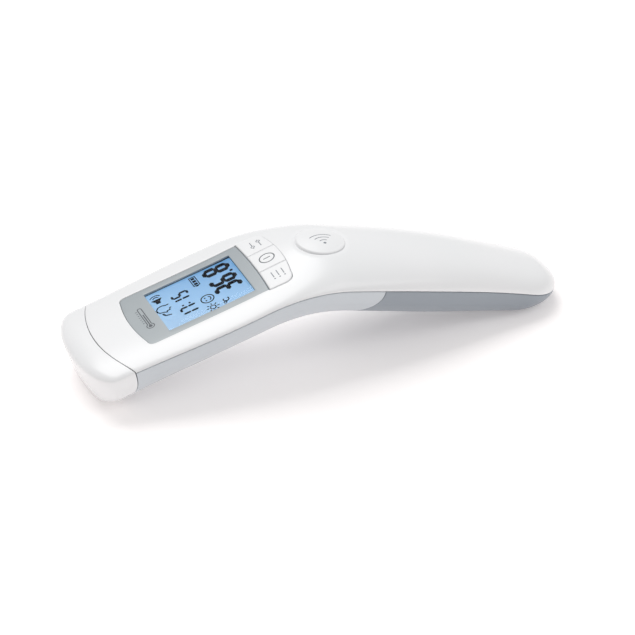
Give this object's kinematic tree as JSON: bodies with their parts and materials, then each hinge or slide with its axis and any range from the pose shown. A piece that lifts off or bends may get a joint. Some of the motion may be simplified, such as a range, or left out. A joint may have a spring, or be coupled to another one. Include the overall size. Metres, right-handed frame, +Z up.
{
  "type": "infrared thermometer",
  "caption": "Bent-wand non-contact infrared thermometer with a display head, keys, a scan button, a slide-off sensor cap and a slide-off battery cover.",
  "frame": {"origin": "bottom centre of the bounding box, on the surface the thermometer rests on", "axes": "+X from the sensor cap to the tail of the handle, +Y to the left of a user who looks from the handle to the head, +Z up, with the display on top"},
  "size_m": [0.153, 0.0438, 0.0347],
  "materials": {
    "casing_white": "gloss moulded ABS",
    "casing_grey": "satin pale silver-grey ABS",
    "cover_grey": "satin blue-grey ABS",
    "key_white": "satin with pale grey print",
    "window_silver": "silver-grey back-printed window border",
    "lens_clear": "polished clear",
    "display_blue": "blue backlit liquid-crystal cell under polariser film",
    "frost_white": "frosted",
    "rubber_grey": "matt silicone",
    "board_green": "solder-masked glass fibre board",
    "chip_black": "moulded epoxy",
    "ribbon_amber": "polyimide film",
    "cell_sleeve": "printed film sleeve",
    "steel": "nickel-plated",
    "gold_plate": "gold-plated can",
    "filter_dark": "coated silicon"
  },
  "bodies": {
    "casing": {"top_casing": "casing_white", "bottom_casing": "casing_grey", "sensor_nose": "casing_white", "sensor_funnel": "steel", "thermopile_can": "gold_plate", "infrared_filter": "filter_dark", "sensor_board": "board_green", "window_frame": "window_silver", "display_lens": "lens_clear", "lcd_panel": "display_blue", "backlight_guide": "frost_white", "contact_strip": "rubber_grey", "lcd_holder": "frost_white", "key_mat": "rubber_grey", "scan_switch": "chip_black", "scan_board": "board_green", "link_ribbon": "ribbon_amber", "main_board": "board_green", "key_switch_1": "steel", "key_switch_2": "steel", "key_switch_3": "steel", "microcontroller": "chip_black", "memory_chip": "chip_black", "buzzer": "chip_black", "battery_1": "cell_sleeve", "battery_2": "cell_sleeve", "contact_plus": "steel", "contact_minus": "steel", "contact_bridge": "steel", "casing_screw_left": "steel", "nose_screw_left": "steel", "casing_screw_right": "steel", "nose_screw_right": "steel"},
    "cap": {"sensor_cap": "casing_white"},
    "cover": {"battery_cover": "cover_grey"},
    "left_key": {"key_left": "key_white"},
    "power_key": {"key_power": "key_white"},
    "right_key": {"key_right": "key_white"},
    "scan": {"scan_button": "key_white"}
  },
  "joints": [
    {"name": "cap_slide", "type": "slide", "parent": "casing", "child": "cap", "axis": [-0.9648, 0, -0.2629], "range_m": [0, 0.03]},
    {"name": "cover_slide", "type": "slide", "parent": "casing", "child": "cover", "axis": [0.9382, 0, -0.3462], "range_m": [0, 0.025]},
    {"name": "scan_press", "type": "slide", "parent": "casing", "child": "scan", "axis": [-0.1737, 0, -0.9848], "range_m": [0, 0.0008], "stiffness_N_per_m": 500, "springref_m": -0.002},
    {"name": "left_key_press", "type": "slide", "parent": "casing", "child": "left_key", "axis": [0.1031, 0, -0.9947], "range_m": [0, 0.0004], "stiffness_N_per_m": 500, "springref_m": -0.001},
    {"name": "power_key_press", "type": "slide", "parent": "casing", "child": "power_key", "axis": [0.1031, 0, -0.9947], "range_m": [0, 0.0004], "stiffness_N_per_m": 500, "springref_m": -0.001},
    {"name": "right_key_press", "type": "slide", "parent": "casing", "child": "right_key", "axis": [0.1031, 0, -0.9947], "range_m": [0, 0.0004], "stiffness_N_per_m": 500, "springref_m": -0.001}
  ]
}
